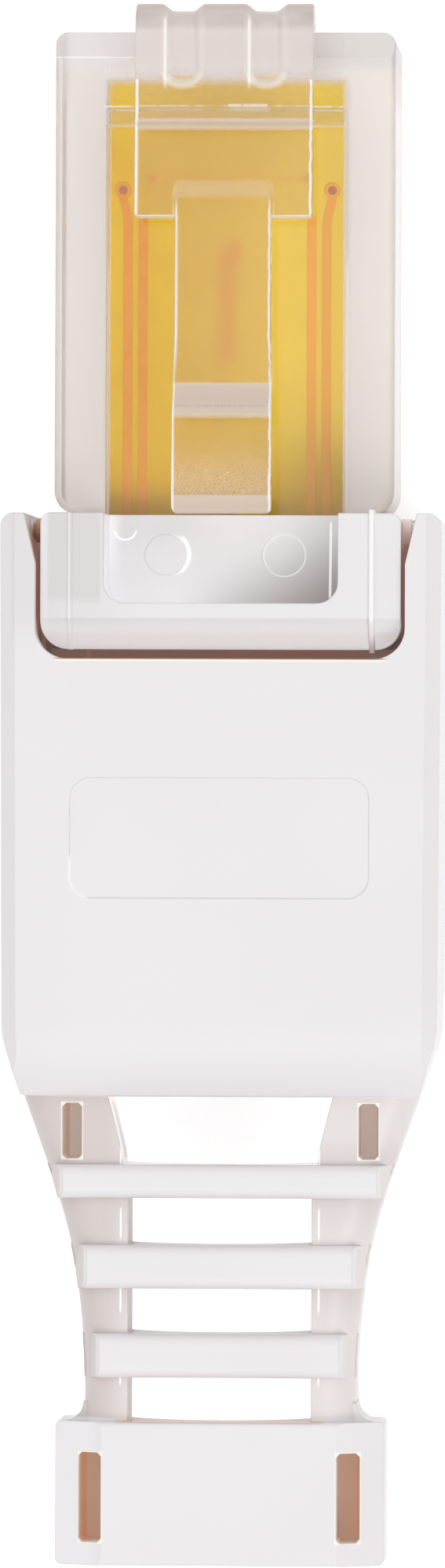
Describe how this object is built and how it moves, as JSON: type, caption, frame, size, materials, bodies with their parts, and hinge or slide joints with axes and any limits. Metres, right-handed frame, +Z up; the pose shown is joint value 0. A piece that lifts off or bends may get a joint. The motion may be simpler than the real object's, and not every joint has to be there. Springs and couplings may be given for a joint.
{
  "type": "rj45 modular plug",
  "caption": "Tool-free modular data plug with a clear nose, springy latch, hinged white cover and a ladder-shaped cable strain relief.",
  "frame": {"origin": "on the resting face, mid-width, straight below the cover's hinge axis", "axes": "+Y towards the nose that enters the jack, +Z up towards the latch, +X to the right seen from above with the nose away"},
  "size_m": [0.015, 0.0535, 0.0123],
  "materials": {
    "clear_polycarbonate": "clear, slightly frosted",
    "clear_latch": "clear, finger pad finely grained",
    "clear_comb": "clear",
    "board": "yellow solder mask with orange traces",
    "white_base": "semi-gloss moulded",
    "white_cover": "satin moulded",
    "white_block": "moulded",
    "white_comb": "moulded",
    "gold": "gold plated",
    "tinned_brass": "tin plated"
  },
  "bodies": {
    "base": {"base_housing": "white_base", "plug_shell": "clear_polycarbonate", "circuit_board": "board", "contact_carrier": "clear_comb", "idc_block": "white_block", "wire_manager": "white_comb", "contact_1": "gold", "contact_2": "gold", "contact_3": "gold", "contact_4": "gold", "contact_5": "gold", "contact_6": "gold", "contact_7": "gold", "contact_8": "gold", "idc_terminal_1": "tinned_brass", "idc_terminal_2": "tinned_brass", "idc_terminal_3": "tinned_brass", "idc_terminal_4": "tinned_brass", "idc_terminal_5": "tinned_brass", "idc_terminal_6": "tinned_brass", "idc_terminal_7": "tinned_brass", "idc_terminal_8": "tinned_brass"},
    "cover": {"cover": "white_cover"},
    "latch": {"latch": "clear_latch"}
  },
  "joints": [
    {"name": "cover_hinge", "type": "hinge", "parent": "base", "child": "cover", "pos_m": [0, 0, 0.0092], "axis": [-1, 0, 0], "range_deg": [0, 100]},
    {"name": "latch_flex", "type": "hinge", "parent": "base", "child": "latch", "pos_m": [0, 0.01705, 0.0093], "axis": [1, 0, 0], "range_deg": [0, 9], "stiffness_Nm_per_rad": 0.2}
  ]
}
